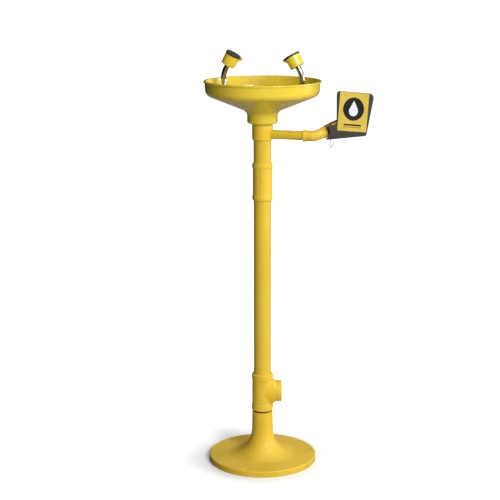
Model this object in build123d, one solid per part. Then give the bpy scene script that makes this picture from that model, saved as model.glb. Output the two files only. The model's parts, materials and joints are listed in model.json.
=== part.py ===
from build123d import *
from math import cos, radians, sin, sqrt, tan
import os

# Pedestal eyewash station.
# Origin: centre of the floor face, on the column's axis. +Z is up.
# +X runs from the column towards the supply arm, in line with both spray heads.
# The user stands on the -Y side.

# ---------------------------------------------------------------- driving dimensions (mm)
contact_gap = 0.3          # between pieces that move past each other
running_gap = 0.05         # radial, a shaft in its hole

# Column pipe, 1 1/4 inch nominal
pipe_r = 21.2
pipe_wall = 3.7
thread_cut = 0.5           # radius lost where a pipe is threaded
thread_depth = 20.0

# Supply pipe, 1/2 inch nominal
arm_r = 10.65
arm_wall = 2.75
arm_thread_cut = 0.45
arm_thread_depth = 11.0

# Floor flange
base_r = 132.0
base_thickness = 15.0
base_edge_round = 3.0
trumpet_r = 61.0
neck_wall = 4.5            # at the neck's top, outside the thread
neck_flare = 1.8           # the neck's foot over its top
flange_height = 124.0
flange_socket_depth = 20.0
floor_bolt_inset = 12.0
floor_bolt_hole_r = 4.75
floor_bolt_count = 3
floor_bolt_first_deg = 30.0

# Waste tee
tee_gap = 4.4              # bare thread showing between flange and tee
tee_height = 94.4
tee_wall = 4.7
tee_band_proud = 1.0
tee_band_height = 15.0
tee_branch_reach = 47.5
tee_branch_band = 12.5
tee_branch_deg = 20.0
tee_web = 10.0

# Column
lower_pipe_length = 431.2  # exposed length between tee and coupling
coupling_height = 92.4
coupling_wall = 2.5
coupling_bead_proud = 1.3
coupling_bead_height = 12.0
coupling_shoulder = 3.5
coupling_mouth_lip = 1.1
coupling_rib_width = 4.0
coupling_rib_proud = 0.7
coupling_rib_deg = -77.0
upper_pipe_length = 53.6   # exposed length between coupling and supply fitting

# Supply fitting
fitting_height = 39.5
fitting_wall = 6.6
spigot_wall = 2.7          # upper thread, inside the bowl's collar
fitting_foot_wall = 4.0    # lower thread, inside the column pipe
fitting_edge = 1.5
bridge_wall = 2.3          # round the arm thread, where the supply crosses the waste bore
bridge_rise = 1.5          # the bridge above the fitting's lower face
bridge_foot_rise = 1.0
riser_r = 7.9
riser_wall = 1.9
riser_socket_depth = 8.0
riser_socket_wall = 3.6

# Bowl
collar_wall = 6.0
collar_round = 5.0
collar_floor = 8.6         # thickness of the collar's bottom web
collar_chamber_round = 0.8
bowl_wall = 3.0
bowl_wall_foot_r = 134.5
bowl_wall_flare = 1.7
bowl_wall_height = 32.6
bowl_corner_round = 22.0
bowl_cone_deg = 22.2
bowl_flare_round = 16.0
bowl_lip_proud = 2.8
bowl_lip_height = 3.6
gasket_width = 8.3
gasket_thickness = 2.0
locknut_wall = 4.3
locknut_height = 8.0
locknut_room = 1.0         # between the gasket's edge and the collar's wall
spigot_show = 2.0          # thread standing above the locknut
strainer_lift = 3.0        # strainer above the thread's end
strainer_ledge = 2.0
strainer_thickness = 2.0
strainer_recess = 5.8      # strainer's seat below the bowl's floor
strainer_hole_r = 2.5
strainer_row_gap = 6.3

# Yoke and goosenecks
tube_r = 6.35
tube_wall = 1.15
yoke_rise = 35.0           # gooseneck axis above the strainer's seat
yoke_wall = 5.1
yoke_half_height = 12.0
yoke_arm_wall = 2.65
yoke_arm_reach = 22.0
yoke_socket_depth = 8.0
yoke_crown_round = 4.0
tube_nut_wall = 3.15
tube_nut_length = 9.0
neck_reach = 97.0          # gooseneck's vertical stretch from the column axis
neck_low_bend_r = 45.0
neck_high_bend_r = 50.0
neck_corner_rise = 58.0    # where the vertical and slanted runs would meet, above the yoke axis
head_tilt_deg = 30.0
head_rise = 21.7           # slanted run from that corner to the head's bottom face
tube_grip = 7.0            # how far the tube enters the head

# Spray heads
head_height = 26.0
head_rim_r = 17.9
head_taper = 0.7           # rim radius over foot radius
head_wall = 2.2
head_floor = 4.0
head_edge = 1.2
head_boss_wall = 2.0
insert_thickness = 4.0
insert_depth = 3.0         # spray face below the head's rim
insert_hole_r = 1.0
insert_row_gap = 4.5
screen_thickness = 1.5
cover_overhang = 1.1
cover_thickness = 4.2
cover_edge = 1.0
cover_recess_wall = 4.5
cover_recess_depth = 1.8
hinge_offset = 2.8         # hinge axis outside the cover's edge
hinge_pin_r = 1.0
hinge_knuckle_r = 2.2
hinge_tongue_width = 4.0
hinge_ear_width = 11.0
hinge_ear_drop = 9.0

# Supply arm and elbow
elbow_bend_reach = 130.0   # elbow's bend point from the column axis
elbow_face = 28.5          # bend point to either face
elbow_wall = 2.1
elbow_band_proud = 1.2
elbow_band_length = 8.0
elbow_turn_deg = 45.0
elbow_roll_deg = 27.0      # the outlet rises this far out of the level plane
elbow_bend_r = 26.0

# Ball valve
valve_nipple_gap = 2.0
valve_half_length = 25.0
valve_hex_wall = 3.3
valve_hex_length = 11.0
valve_belly_wall = 3.8
valve_chamber_half = 12.0
valve_port_r = 6.8
ball_r = 11.0
ball_slot_width = 4.0
ball_slot_depth = 3.0
seat_ring_room = 1.2       # chamber wall outside the ball
seat_face = 6.5
stem_tilt_deg = 5.0
stem_r = 4.5
stem_shoulder = 0.9
boss_wall = 4.5
boss_height = 19.5
gland_wall = 2.95
gland_height = 4.5

# Paddle handle
paddle_gap = 0.4           # between the gland nut and the paddle
plate_thickness = 5.0
plate_edge = 0.8
plate_turn_deg = -25.4     # flag's lower edge against the flow axis, about the stem
flag_left = -15.5
flag_right = 80.5
flag_top = 85.0
flag_foot_left = -9.0
flag_foot_right = 68.0
flag_foot_drop = -14.5
tail_left = -32.5
tail_top = 3.0
tail_inner_top = 6.5
tail_bottom = -30.0
tail_corner = 1.5
flag_corner_small = 7.0
flag_corner_large = 11.0
tail_notch_r = 17.0
tail_notch_bite = 6.5
screw_head_r = 5.0
screw_head_height = 2.4
screw_head_room = 0.2
screw_r = 2.5
screw_length = 12.0

# Sign on the flag
sign_width = 75.0
sign_height = 90.0
sign_thickness = 0.8
sign_inset = 6.6           # sign's left edge inside the flag's upper left corner
sign_drop = 1.2            # sign's top edge below the flag's
sign_corner = 2.0

# Tag hook
hook_wire_r = 0.8
hook_hole = (-18.5, -22.5)
hook_bend_r = 1.1
hook_tip = 4.0


# ---------------------------------------------------------------- sizes that follow from the fits
pipe_thread_r = pipe_r - thread_cut
pipe_bore_r = pipe_r - pipe_wall
arm_thread_r = arm_r - arm_thread_cut
arm_bore_r = arm_r - arm_wall
neck_top_r = pipe_thread_r + neck_wall
neck_foot_r = neck_top_r + neck_flare
floor_bolt_circle_r = base_r - floor_bolt_inset
tee_body_r = pipe_thread_r + tee_wall
tee_band_r = tee_body_r + tee_band_proud
coupling_body_r = pipe_thread_r + coupling_wall
coupling_bead_r = coupling_body_r + coupling_bead_proud
fitting_bore_r = pipe_thread_r - spigot_wall
fitting_foot_bore_r = pipe_bore_r - fitting_foot_wall
fitting_r = fitting_bore_r + fitting_wall
bridge_r = arm_thread_r + bridge_wall
arm_axis_rise = bridge_r + bridge_rise
riser_bore_r = riser_r - riser_wall
gasket_r = pipe_thread_r + gasket_width
collar_chamber_r = gasket_r + locknut_room
collar_r = collar_chamber_r + collar_wall
strainer_seat_r = collar_chamber_r + strainer_ledge
bowl_wall_top_r = bowl_wall_foot_r + bowl_wall_flare
tube_bore_r = tube_r - tube_wall
yoke_r = riser_r + yoke_wall
yoke_arm_r = tube_r + yoke_arm_wall
head_foot_r = head_rim_r - head_taper
head_chamber_r = head_foot_r - head_wall
cover_r = head_rim_r + cover_overhang
cover_recess_r = cover_r - cover_recess_wall
hinge_reach = cover_r + hinge_offset
elbow_body_r = arm_thread_r + elbow_wall
elbow_band_r = elbow_body_r + elbow_band_proud
valve_hex_across = 2 * (arm_thread_r + valve_hex_wall)
valve_chamber_r = ball_r + seat_ring_room
valve_belly_r = valve_chamber_r + valve_belly_wall
boss_r = stem_r + boss_wall
gland_across = 2 * (stem_r + gland_wall)

# Heights, worked out from the floor upwards
tee_z = flange_height + tee_gap
tee_top_z = tee_z + tee_height
coupling_z = tee_top_z + lower_pipe_length
coupling_top_z = coupling_z + coupling_height
fitting_z = coupling_top_z + upper_pipe_length
arm_z = fitting_z + arm_axis_rise
collar_z = fitting_z + fitting_height
gasket_z = collar_z + collar_floor
locknut_z = gasket_z + gasket_thickness
spigot_top_z = locknut_z + locknut_height + spigot_show
strainer_z = spigot_top_z + strainer_lift
yoke_z = strainer_z + yoke_rise

# The bowl's cone rises from the strainer's recess to the foot of its wall
cone_slope = tan(radians(bowl_cone_deg))
cone_wall_drop = bowl_wall / cos(radians(bowl_cone_deg))
throat_z = strainer_z + strainer_recess
bowl_foot_z = throat_z - cone_wall_drop + (bowl_wall_foot_r - strainer_seat_r) * cone_slope
rim_z = bowl_foot_z + bowl_wall_height


# ---------------------------------------------------------------- helpers
def rod(radius, low, high):
    """Solid cylinder on the local Z axis between two heights."""
    return extrude(Pos(0, 0, low) * Circle(radius), high - low)


def tube(outer_r, inner_r, low, high):
    """Plain pipe on the local Z axis between two heights."""
    wall = Circle(outer_r) - Circle(inner_r)
    return extrude(Pos(0, 0, low) * wall, high - low)


def hexagon(across, low, high):
    """Hexagonal prism on the local Z axis, sized across its flats."""
    return extrude(Pos(0, 0, low) * RegularPolygon(across / 2, 6, major_radius=False), high - low)


def turned(outline):
    """Solid of revolution about the local Z axis from a closed outline of (radius, height)."""
    return revolve(Plane.XZ * make_face(outline), Axis.Z)


def top_rim(body):
    """Highest round edge of a turned body."""
    return body.edges().filter_by(GeomType.CIRCLE).sort_by(Axis.Z)[-1]


def foot_rim(body):
    """Lowest round edge of a turned body."""
    return body.edges().filter_by(GeomType.CIRCLE).sort_by(Axis.Z)[0]


def drill_rows(plate, hole_r, rows, low, high):
    """Cut round holes on circles about the local Z axis, given as (circle radius, count) rows."""
    for circle_r, count in rows:
        for place in PolarLocations(circle_r, count):
            plate -= place * rod(hole_r, low, high)
    return plate


def along_x(height):
    """Working plane whose Z axis runs along +X, on the column's axis at a height."""
    return Plane(origin=(0, 0, height), x_dir=(0, 1, 0), z_dir=(1, 0, 0))


def save(shape, name):
    """Write one node."""
    shape.label = name
    export_step(shape, os.path.join("parts", name + ".step"))


# ---------------------------------------------------------------- base and column
def floor_flange():
    """Cast base: flat plate, trumpet and neck, threaded from above, closed underneath."""
    plate_r = neck_foot_r + trumpet_r
    trumpet_z = base_thickness + trumpet_r
    sag = trumpet_r * (1 - sin(radians(45)))
    outline = (
        Polyline((neck_foot_r, trumpet_z), (neck_top_r, flange_height), (0, flange_height), (0, 0))
        + Polyline((0, 0), (base_r, 0), (base_r, base_thickness), (plate_r, base_thickness))
        + ThreePointArc(
            (plate_r, base_thickness),
            (neck_foot_r + sag, base_thickness + sag),
            (neck_foot_r, trumpet_z),
        )
    )
    body = turned(outline)
    rim = body.edges().filter_by(GeomType.CIRCLE).filter_by(lambda e: abs(e.radius - base_r) < 0.01)
    body = fillet(rim.sort_by(Axis.Z)[-1], base_edge_round)
    body -= rod(pipe_thread_r, flange_height - flange_socket_depth, flange_height)
    for place in PolarLocations(floor_bolt_circle_r, floor_bolt_count, floor_bolt_first_deg):
        body -= place * rod(floor_bolt_hole_r, 0, base_thickness)
    return body


def base_nipple():
    """Close nipple between the flange and the tee."""
    return tube(pipe_thread_r, pipe_bore_r, flange_height - flange_socket_depth, tee_z + thread_depth)


def waste_tee():
    """Malleable tee on the column, its branch left open for the waste line."""
    branch_axis = (cos(radians(tee_branch_deg)), sin(radians(tee_branch_deg)), 0)
    branch = Plane(origin=(0, 0, tee_z + tee_height / 2), x_dir=(0, 0, 1), z_dir=branch_axis)
    band_start = tee_branch_reach - tee_branch_band
    body = rod(tee_body_r, tee_z, tee_top_z)
    for low in (tee_z, tee_top_z - tee_band_height):
        body += rod(tee_band_r, low, low + tee_band_height)
    body += branch * rod(tee_body_r, 0, tee_branch_reach)
    body += branch * rod(tee_band_r, band_start, tee_branch_reach)
    web = Cone(tee_body_r + tee_web, tee_body_r, tee_web, align=(Align.CENTER, Align.CENTER, Align.MAX))
    body += branch * (Pos(0, 0, band_start) * web)
    body -= rod(pipe_bore_r, tee_z, tee_top_z)
    body -= rod(pipe_thread_r, tee_z, tee_z + thread_depth)
    body -= rod(pipe_thread_r, tee_top_z - thread_depth, tee_top_z)
    body -= branch * rod(pipe_bore_r, 0, tee_branch_reach)
    body -= branch * rod(pipe_thread_r, tee_branch_reach - thread_depth, tee_branch_reach)
    return body


def lower_pipe():
    """Long column pipe, threaded outside at both ends."""
    pipe = rod(pipe_r, tee_top_z, coupling_z)
    pipe += rod(pipe_thread_r, tee_top_z - thread_depth, coupling_z + thread_depth)
    return pipe - rod(pipe_bore_r, tee_top_z - thread_depth, coupling_z + thread_depth)


def upper_pipe():
    """Short column pipe, threaded outside below and inside above."""
    pipe = rod(pipe_r, coupling_top_z, fitting_z)
    pipe += rod(pipe_thread_r, coupling_top_z - thread_depth, coupling_top_z)
    return pipe - rod(pipe_bore_r, coupling_top_z - thread_depth, fitting_z)


def coupling():
    """Ribbed coupling with a bead at each end."""
    middle = coupling_z + coupling_height / 2
    lower = [
        (0, coupling_z),
        (pipe_thread_r + coupling_mouth_lip, coupling_z),
        (coupling_bead_r, coupling_z + coupling_shoulder),
        (coupling_bead_r, coupling_z + coupling_bead_height),
        (coupling_body_r, coupling_z + coupling_bead_height + coupling_bead_proud),
    ]
    upper = [(radius, 2 * middle - height) for radius, height in reversed(lower)]
    body = turned(Polyline(*lower, *upper, close=True))
    rib_depth = coupling_rib_proud + coupling_wall
    rib = Box(rib_depth, coupling_rib_width, coupling_height - 2 * coupling_bead_height)
    rib_x = coupling_body_r + coupling_rib_proud - rib_depth / 2
    for angle in (coupling_rib_deg, coupling_rib_deg + 180):
        body += Rot(0, 0, angle) * (Pos(rib_x, 0, middle) * rib)
    body -= rod(pipe_bore_r, coupling_z, coupling_top_z)
    body -= rod(pipe_thread_r, coupling_z, coupling_z + thread_depth)
    body -= rod(pipe_thread_r, coupling_top_z - thread_depth, coupling_top_z)
    return body


# ---------------------------------------------------------------- supply fitting and bowl
riser_foot_z = arm_z + bridge_r


def supply_fitting():
    """Body that takes the arm in at the side, feeds the riser, and lets the waste past it."""
    waste_z = fitting_z + bridge_foot_rise
    socket_top_z = riser_foot_z + riser_socket_depth
    body = rod(fitting_r, fitting_z, collar_z)
    body = chamfer(foot_rim(body), fitting_edge)
    body += rod(pipe_bore_r, fitting_z - thread_depth, fitting_z)
    body += rod(pipe_thread_r, collar_z, spigot_top_z)
    body -= rod(fitting_foot_bore_r, fitting_z - thread_depth, waste_z)
    body -= rod(fitting_bore_r, waste_z, spigot_top_z)
    body += rod(riser_r + riser_socket_wall, arm_z, socket_top_z)
    body += (along_x(arm_z) * rod(bridge_r, 0, fitting_r)) & rod(fitting_r, fitting_z, collar_z)
    body -= rod(riser_bore_r, arm_z, socket_top_z)
    body -= rod(riser_r, riser_foot_z, socket_top_z)
    body -= along_x(arm_z) * rod(riser_bore_r, 0, fitting_r)
    body -= along_x(arm_z) * rod(arm_thread_r, fitting_r - arm_thread_depth, fitting_r)
    return body


def riser_tube():
    """Carries the water up through the drain to the yoke."""
    return tube(riser_r, riser_bore_r, riser_foot_z, yoke_z - yoke_half_height + riser_socket_depth)


def cone_height(radius):
    """Height of the bowl's outer cone at a radius."""
    return bowl_foot_z - (bowl_wall_foot_r - radius) * cone_slope


def bowl():
    """Round bowl, collar and lipped rim in one moulding."""
    lip_r = bowl_wall_top_r + bowl_lip_proud
    lip_z = rim_z - bowl_lip_height
    sharp = 0
    corners = [
        ((pipe_thread_r, collar_z), sharp),
        ((collar_r, collar_z), collar_round),
        ((collar_r, cone_height(collar_r)), bowl_flare_round),
        ((bowl_wall_foot_r, bowl_foot_z), bowl_corner_round),
        ((bowl_wall_top_r, lip_z), bowl_lip_height / 3),
        ((lip_r, lip_z), bowl_lip_height / 4),
        ((lip_r, rim_z), bowl_lip_height / 4),
        ((bowl_wall_top_r - bowl_wall, rim_z), bowl_lip_height / 4),
        ((bowl_wall_foot_r - bowl_wall, bowl_foot_z + cone_wall_drop), bowl_corner_round - bowl_wall),
        ((strainer_seat_r, throat_z), sharp),
        ((strainer_seat_r, strainer_z), sharp),
        ((collar_chamber_r, strainer_z), sharp),
        ((collar_chamber_r, gasket_z), collar_chamber_round),
        ((pipe_thread_r, gasket_z), sharp),
    ]
    points = [point for point, _ in corners]
    radii = [radius for _, radius in corners]
    return turned(FilletPolyline(*points, radius=radii, close=True))


def bowl_gasket():
    """Flat rubber ring under the locknut."""
    return tube(gasket_r, pipe_thread_r, gasket_z, locknut_z)


def bowl_locknut():
    """Clamps the bowl down on the supply fitting."""
    nut = hexagon(2 * (pipe_thread_r + locknut_wall), locknut_z, locknut_z + locknut_height)
    return nut - rod(pipe_thread_r, locknut_z, locknut_z + locknut_height)


def drain_strainer():
    """Perforated plate over the drain, round the riser."""
    top = strainer_z + strainer_thickness
    outer_r = strainer_seat_r - contact_gap
    plate = tube(outer_r, riser_r + contact_gap, strainer_z, top)
    row_count = int((outer_r - riser_r) / strainer_row_gap - 0.5)
    first_r = outer_r - strainer_row_gap * (row_count - 0.3)
    rows = [(first_r + strainer_row_gap * i, 6 * (i + 2)) for i in range(row_count)]
    return drill_rows(plate, strainer_hole_r, rows, strainer_z, top)


# ---------------------------------------------------------------- yoke and goosenecks
def yoke():
    """Splits the riser's flow to the two goosenecks."""
    low = yoke_z - yoke_half_height
    socket_start = yoke_arm_reach - yoke_socket_depth
    across = along_x(yoke_z)
    body = rod(yoke_r, low, yoke_z + yoke_half_height)
    body = fillet(top_rim(body), yoke_crown_round)
    body += across * rod(yoke_arm_r, -yoke_arm_reach, yoke_arm_reach)
    body -= across * rod(tube_bore_r, -yoke_arm_reach, yoke_arm_reach)
    body -= across * rod(tube_r, -yoke_arm_reach, -socket_start)
    body -= across * rod(tube_r, socket_start, yoke_arm_reach)
    body -= rod(riser_bore_r, low, yoke_z)
    body -= rod(riser_r, low, low + riser_socket_depth)
    return body


def yoke_nut():
    """Nut that grips the +X gooseneck against the yoke."""
    nut_end = yoke_arm_reach + tube_nut_length
    nut = hexagon(2 * (tube_r + tube_nut_wall), yoke_arm_reach, nut_end)
    nut -= rod(tube_r, yoke_arm_reach, nut_end)
    return along_x(yoke_z) * nut


head_tilt = radians(head_tilt_deg)
head_axis = Vector(-sin(head_tilt), 0, cos(head_tilt))
neck_corner = Vector(neck_reach, 0, yoke_z + neck_corner_rise)
head_foot = neck_corner + head_axis * head_rise
head_plane = Plane(origin=head_foot, x_dir=(cos(head_tilt), 0, sin(head_tilt)), z_dir=head_axis)


def gooseneck():
    """Bent chrome tube of the head on the +X side."""
    start = Vector(yoke_arm_reach - yoke_socket_depth, 0, yoke_z)
    low_corner = Vector(neck_reach, 0, yoke_z)
    end = head_foot + head_axis * tube_grip
    path = FilletPolyline(start, low_corner, neck_corner, end, radius=[neck_low_bend_r, neck_high_bend_r])
    section = Plane(origin=start, x_dir=(0, 1, 0), z_dir=(1, 0, 0)) * (Circle(tube_r) - Circle(tube_bore_r))
    return sweep(section, path)


# ---------------------------------------------------------------- spray heads
# Local frame of the +X head: Z is the head's axis, X points away from the column,
# zero is the head's bottom face.
cover_z = head_height + contact_gap
hinge_z = cover_z + cover_thickness / 2
insert_top = head_height - insert_depth
insert_low = insert_top - insert_thickness


def hinge_rod(radius, width):
    """Cylinder on the hinge's axis, centred across it."""
    return Pos(-hinge_reach, 0, hinge_z) * Rot(90, 0, 0) * Cylinder(radius, width)


def head_body():
    """Spray head cup with its hinge ear, fixed on the gooseneck."""
    cup = Cone(head_foot_r, head_rim_r, head_height, align=(Align.CENTER, Align.CENTER, Align.MIN))
    cup = fillet(foot_rim(cup), head_edge)
    knuckle_tip = hinge_reach + hinge_knuckle_r
    ear_root = head_foot_r - head_wall / 2
    ear_side = Polyline(
        (-ear_root, head_height - hinge_ear_drop),
        (-ear_root, head_height - 1),
        (hinge_knuckle_r - hinge_reach, head_height - 1),
        (-hinge_reach, hinge_z - 1),
        (-knuckle_tip + 0.4, hinge_z - 1),
        (-knuckle_tip + 0.4, hinge_z - hinge_knuckle_r),
        close=True,
    )
    ear = extrude(Plane.XZ * make_face(ear_side), hinge_ear_width / 2, both=True)
    ear += hinge_rod(hinge_knuckle_r, hinge_ear_width)
    slot_length = 4 * hinge_knuckle_r
    slot_x = -hinge_reach + hinge_knuckle_r + contact_gap - slot_length / 2
    slot = Box(slot_length, hinge_tongue_width + 2 * contact_gap, 3 * slot_length)
    ear -= Pos(slot_x, 0, hinge_z) * slot
    body = cup + ear
    body -= rod(head_chamber_r, head_floor, head_height)
    body += rod(tube_r + head_boss_wall, head_floor, tube_grip)
    body -= rod(tube_r, 0, tube_grip)
    return body - hinge_rod(hinge_pin_r, hinge_ear_width)


def spray_insert():
    """Face plate that breaks the flow into soft jets."""
    face = rod(head_chamber_r, insert_low, insert_top)
    rows = [(insert_row_gap, 6), (2 * insert_row_gap, 12)]
    return drill_rows(face, insert_hole_r, rows, insert_low, insert_top)


def flow_screen():
    """Filter disc under the spray insert."""
    return rod(head_chamber_r, insert_low - screen_thickness, insert_low)


def dust_cover():
    """Flip-top lid with the tongue that turns on the hinge pin."""
    lid = rod(cover_r, cover_z, cover_z + cover_thickness)
    lid = fillet(top_rim(lid), cover_edge)
    lid -= rod(cover_recess_r, cover_z, cover_z + cover_recess_depth)
    strap_start = cover_recess_r + cover_edge
    strap = Box(hinge_reach - strap_start, hinge_tongue_width, cover_thickness)
    lid += Pos(-(hinge_reach + strap_start) / 2, 0, hinge_z) * strap
    lid += hinge_rod(hinge_knuckle_r, hinge_tongue_width)
    return lid - hinge_rod(hinge_pin_r + running_gap, hinge_tongue_width)


def cover_pin():
    """Pin fixed in the head's ear."""
    return hinge_rod(hinge_pin_r, hinge_ear_width)


# ---------------------------------------------------------------- supply arm and elbow
turn = radians(elbow_turn_deg)
roll = radians(elbow_roll_deg)
flow = Vector(cos(turn), sin(turn) * cos(roll), sin(turn) * sin(roll))
bend_point = Vector(elbow_bend_reach, 0, arm_z)
elbow_inlet = bend_point - Vector(elbow_face, 0, 0)
elbow_outlet = bend_point + flow * elbow_face
inlet_plane = Plane(origin=elbow_inlet, x_dir=(0, 1, 0), z_dir=(1, 0, 0))
outlet_plane = Plane(origin=elbow_outlet, x_dir=(0, 0, 1), z_dir=flow * -1)


def supply_nipple():
    """Half-inch arm pipe from the fitting's side to the elbow."""
    face_x = elbow_inlet.X
    thread_start = fitting_r - arm_thread_depth
    pipe = along_x(arm_z) * rod(arm_r, thread_start, face_x)
    pipe -= rod(fitting_r, fitting_z, collar_z)
    pipe += along_x(arm_z) * rod(arm_thread_r, thread_start, face_x + arm_thread_depth)
    return pipe - along_x(arm_z) * rod(arm_bore_r, thread_start, face_x + arm_thread_depth)


def elbow_run(radius):
    """Solid bar round the elbow's bend, face to face."""
    path = FilletPolyline(elbow_inlet, bend_point, elbow_outlet, radius=[elbow_bend_r])
    return sweep(inlet_plane * Circle(radius), path)


def supply_elbow():
    """45 degree banded elbow."""
    body = elbow_run(elbow_body_r)
    for face in (inlet_plane, outlet_plane):
        body += face * rod(elbow_band_r, 0, elbow_band_length)
    body -= elbow_run(arm_bore_r)
    for face in (inlet_plane, outlet_plane):
        body -= face * rod(arm_thread_r, 0, arm_thread_depth)
    return body


# ---------------------------------------------------------------- ball valve
# Local frame: X is the flow axis away from the elbow, Z is the stem, towards the user.
valve_centre = elbow_outlet + flow * (valve_nipple_gap + valve_half_length)
level_side = Vector(flow.Y, -flow.X, 0).normalized()
upright_side = level_side.cross(flow)
stem_tilt = radians(stem_tilt_deg)
stem_axis = level_side * cos(stem_tilt) + upright_side * sin(stem_tilt)
valve_plane = Plane(origin=valve_centre, x_dir=flow, z_dir=stem_axis)
hex_start = valve_half_length - valve_hex_length
socket_start = valve_half_length - arm_thread_depth
gland_top = boss_height + gland_height
plate_low = gland_top + paddle_gap
plate_top = plate_low + plate_thickness
screw_seat = plate_top - screw_head_height


def along_flow(radius, low, high):
    """Cylinder on the valve's flow axis."""
    return Rot(0, 90, 0) * rod(radius, low, high)


def hex_along_flow(low, high):
    """Hexagon on the valve's flow axis."""
    return Rot(0, 90, 0) * hexagon(valve_hex_across, low, high)


def valve_nipple():
    """Close nipple between elbow and valve."""
    low = -valve_half_length - valve_nipple_gap - arm_thread_depth
    return along_flow(arm_thread_r, low, -socket_start) - along_flow(arm_bore_r, low, -socket_start)


def valve_body():
    """Inlet hexagon, belly and stem boss in one brass forging."""
    body = hex_along_flow(-valve_half_length, -hex_start)
    body += along_flow(valve_belly_r, -hex_start, hex_start)
    body += rod(boss_r, 0, boss_height)
    body -= along_flow(valve_port_r, -valve_half_length, 0)
    body -= along_flow(arm_thread_r, -valve_half_length, -socket_start)
    body -= along_flow(valve_chamber_r, -valve_chamber_half, hex_start)
    return body - rod(stem_r + running_gap, 0, boss_height)


def valve_end_piece():
    """Screwed-in retainer with the supply inlet thread."""
    body = hex_along_flow(hex_start, valve_half_length)
    body += along_flow(valve_chamber_r, valve_chamber_half, hex_start)
    body -= along_flow(valve_port_r, valve_chamber_half, valve_half_length)
    return body - along_flow(arm_thread_r, socket_start, valve_half_length)


def valve_seat(side):
    """Ring that the ball turns against, hollowed to the ball's curve."""
    cup_r = ball_r + running_gap
    lip_x = sqrt(cup_r ** 2 - valve_port_r ** 2)
    contact_r = sqrt(cup_r ** 2 - seat_face ** 2)
    middle = Vector(contact_r + valve_port_r, seat_face + lip_x).normalized() * cup_r
    outline = (
        Polyline(
            (contact_r, seat_face),
            (valve_chamber_r, seat_face),
            (valve_chamber_r, valve_chamber_half),
            (valve_port_r, valve_chamber_half),
            (valve_port_r, lip_x),
        )
        + ThreePointArc((valve_port_r, lip_x), (middle.X, middle.Y), (contact_r, seat_face))
    )
    return Rot(0, 90 * side, 0) * turned(outline)


def valve_ball():
    """Ball with its port turned across the flow while the valve is shut, slotted for the stem."""
    ball = Sphere(ball_r) - Rot(90, 0, 0) * Cylinder(valve_port_r, 3 * ball_r)
    slot = Box(3 * ball_r, ball_slot_width, 2 * ball_slot_depth)
    return ball - Pos(0, 0, ball_r) * slot


def valve_stem():
    """Stem with a tang in the ball's slot and a neck for the paddle."""
    tang_low = ball_r - ball_slot_depth + running_gap
    stem = rod(stem_r, ball_r + contact_gap, plate_low)
    stem += rod(stem_r - stem_shoulder, plate_low, screw_seat)
    tang_width = ball_slot_width - 2 * running_gap
    tang = Box(2 * stem_r - 2 * stem_shoulder, tang_width, ball_slot_depth + 2 * contact_gap,
               align=(Align.CENTER, Align.CENTER, Align.MIN))
    stem += Pos(0, 0, tang_low) * tang
    return stem - rod(screw_r, plate_top - screw_length, screw_seat)


def gland_nut():
    """Packing nut round the stem."""
    return hexagon(gland_across, boss_height, gland_top) - rod(stem_r + running_gap, boss_height, gland_top)


# ---------------------------------------------------------------- paddle, sign, hook
# Local frame: the valve's, turned about the stem so that X runs along the flag's top edge.
paddle_plane = Plane(valve_plane.location * Rot(0, 0, plate_turn_deg))


def flag_handle():
    """Flat paddle: a keystone flag with a tail that reaches back over the valve."""
    corners = [
        ((tail_left, tail_top), tail_corner),
        ((flag_foot_left, tail_inner_top), 2 * tail_corner),
        ((flag_left, flag_top), flag_corner_small),
        ((flag_right, flag_top), flag_corner_large),
        ((flag_foot_right, flag_foot_drop), flag_corner_small),
        ((tail_left, tail_bottom), tail_corner),
    ]
    points = [point for point, _ in corners]
    radii = [radius for _, radius in corners]
    outline = make_face(FilletPolyline(*points, radius=radii, close=True))
    notch_x = tail_left + tail_notch_bite - tail_notch_r
    outline -= Pos(notch_x, (tail_top + tail_bottom) / 2) * Circle(tail_notch_r)
    plate = extrude(Pos(0, 0, plate_low) * outline, plate_thickness)
    plate = chamfer(plate.faces().sort_by(Axis.Z)[-1].edges(), plate_edge)
    plate -= rod(stem_r - stem_shoulder, plate_low, screw_seat)
    plate -= rod(screw_head_r + screw_head_room, screw_seat, plate_top)
    return plate - Pos(*hook_hole, 0) * rod(hook_wire_r + running_gap, plate_low, plate_top)


def sign_plate():
    """Thin sign bonded to the flag's face, over the handle screw."""
    centre_x = flag_left + sign_inset + sign_width / 2
    centre_y = flag_top - sign_drop - sign_height / 2
    face = RectangleRounded(sign_width, sign_height, sign_corner)
    return extrude(Pos(centre_x, centre_y, plate_top) * face, sign_thickness)


def handle_screw():
    """Flush screw that keeps the paddle on the stem."""
    screw = rod(screw_head_r, screw_seat, plate_top)
    screw += rod(screw_r, plate_top - screw_length, screw_seat)
    socket = RegularPolygon(screw_r * 0.7, 6)
    return screw - extrude(Pos(0, 0, plate_top - screw_head_height / 2) * socket, screw_head_height)


def tag_hook():
    """Bent wire that hangs through the tail's hole for an inspection tag."""
    hole_x, hole_y = hook_hole
    front_z = plate_top + contact_gap + hook_wire_r
    back_z = plate_low - contact_gap - hook_wire_r
    start = Vector(hole_x, hole_y - hook_tip, front_z)
    path = FilletPolyline(
        start,
        (hole_x, hole_y, front_z),
        (hole_x, hole_y, back_z),
        (hole_x - 3.0, hole_y - 10.5, back_z),
        (hole_x - 2.2, hole_y - 25.5, back_z),
        (hole_x + 2.6, hole_y - 23.0, back_z),
        (hole_x + 7.0, hole_y - 9.5, back_z),
        radius=[hook_bend_r, hook_bend_r, 3.0, 2.0, 2.0],
    )
    section = Plane(origin=start, x_dir=(1, 0, 0), z_dir=(0, 1, 0)) * Circle(hook_wire_r)
    return sweep(section, path)


# ---------------------------------------------------------------- write the nodes
os.makedirs("parts", exist_ok=True)

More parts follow.
